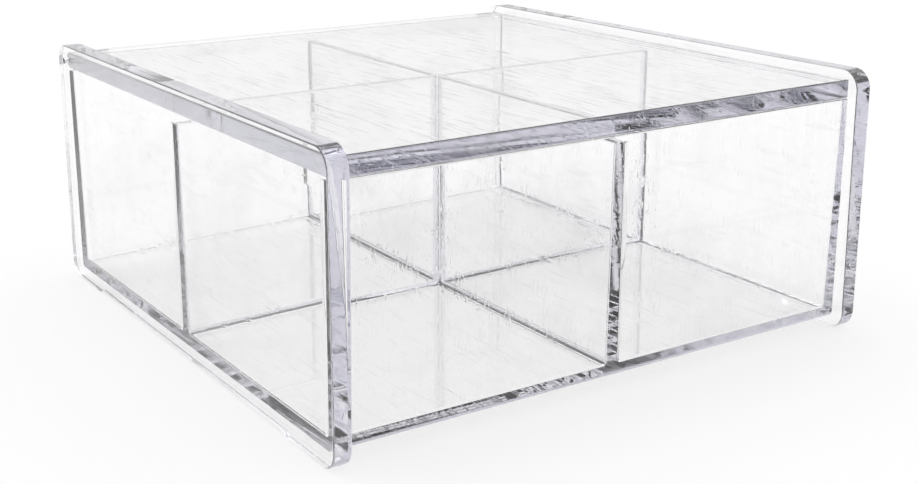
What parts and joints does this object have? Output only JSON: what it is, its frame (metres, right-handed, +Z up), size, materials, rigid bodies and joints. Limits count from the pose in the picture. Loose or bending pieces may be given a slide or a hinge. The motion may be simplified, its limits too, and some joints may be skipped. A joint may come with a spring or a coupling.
{
  "type": "lidded compartment organizer box",
  "caption": "Clear plastic desk and drawer organizer box: moulded compartments between two end plates, and a flat lid hinged on pins at the rear.",
  "frame": {"origin": "middle of the footprint, on the surface the feet stand on", "axes": "-Y is the front with the lid's free edge, +Y is the rear with the hinge, +X is the right-hand end plate, +Z is up"},
  "size_m": [0.14, 0.144, 0.062],
  "materials": {
    "clear_plastic": "clear, polished",
    "pin_steel": "dark, cut ends"
  },
  "bodies": {
    "box": {"compartment_body": "clear_plastic", "left_hinge_pin": "pin_steel", "right_hinge_pin": "pin_steel"},
    "lid": {"lid": "clear_plastic"}
  },
  "joints": [
    {"name": "lid_hinge", "type": "hinge", "parent": "box", "child": "lid", "pos_m": [0, 0.068, 0.0579], "axis": [-1, 0, 0], "range_deg": [0, 200]}
  ]
}
